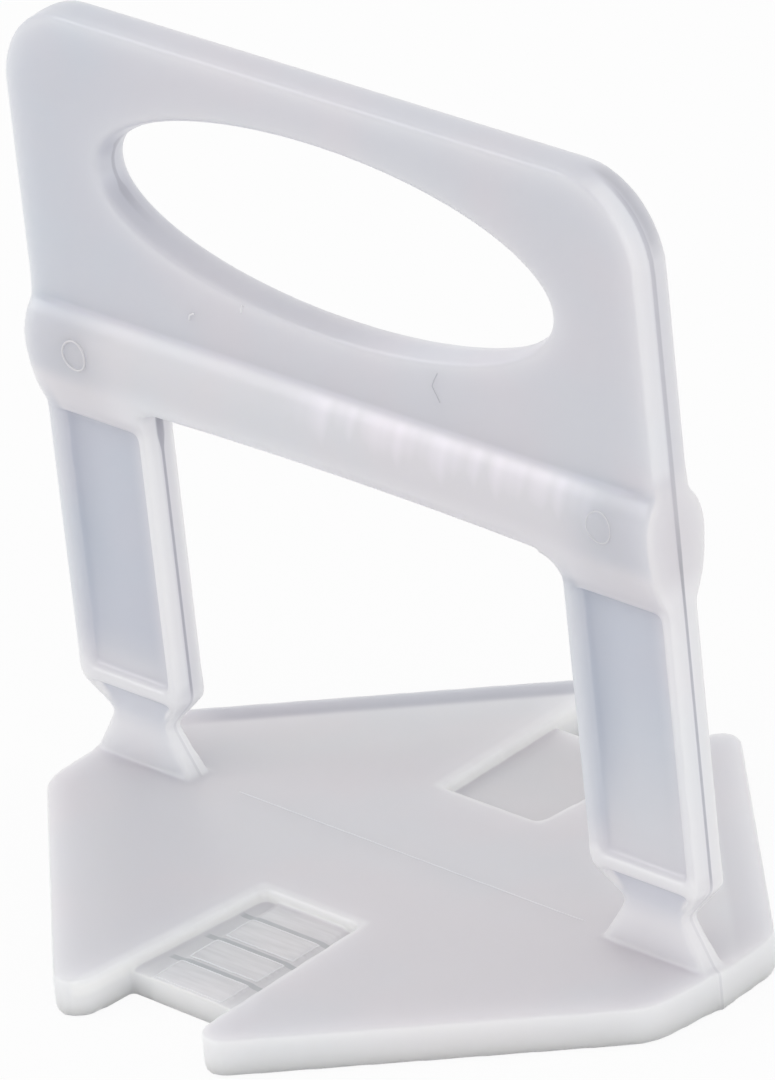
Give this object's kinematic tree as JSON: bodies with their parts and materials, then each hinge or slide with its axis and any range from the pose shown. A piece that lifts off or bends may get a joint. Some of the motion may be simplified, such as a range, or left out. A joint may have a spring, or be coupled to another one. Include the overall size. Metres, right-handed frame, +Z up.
{
  "type": "tile levelling clip",
  "caption": "Moulded plastic clip for levelling tiles: a notched base plate, snap-off legs with waisted necks, a rounded crossbar that takes a wedge, and a grip plate with an oval hole.",
  "frame": {"origin": "under the middle of the base, on the surface that the clip stands on", "axes": "+X along the frame from leg to leg, +Y across it towards the rear lobes, +Z up"},
  "size_m": [0.0502, 0.044, 0.0515],
  "materials": {
    "clip": "satin, translucent milky white"
  },
  "bodies": {
    "root": {"clip": "clip"}
  },
  "joints": []
}
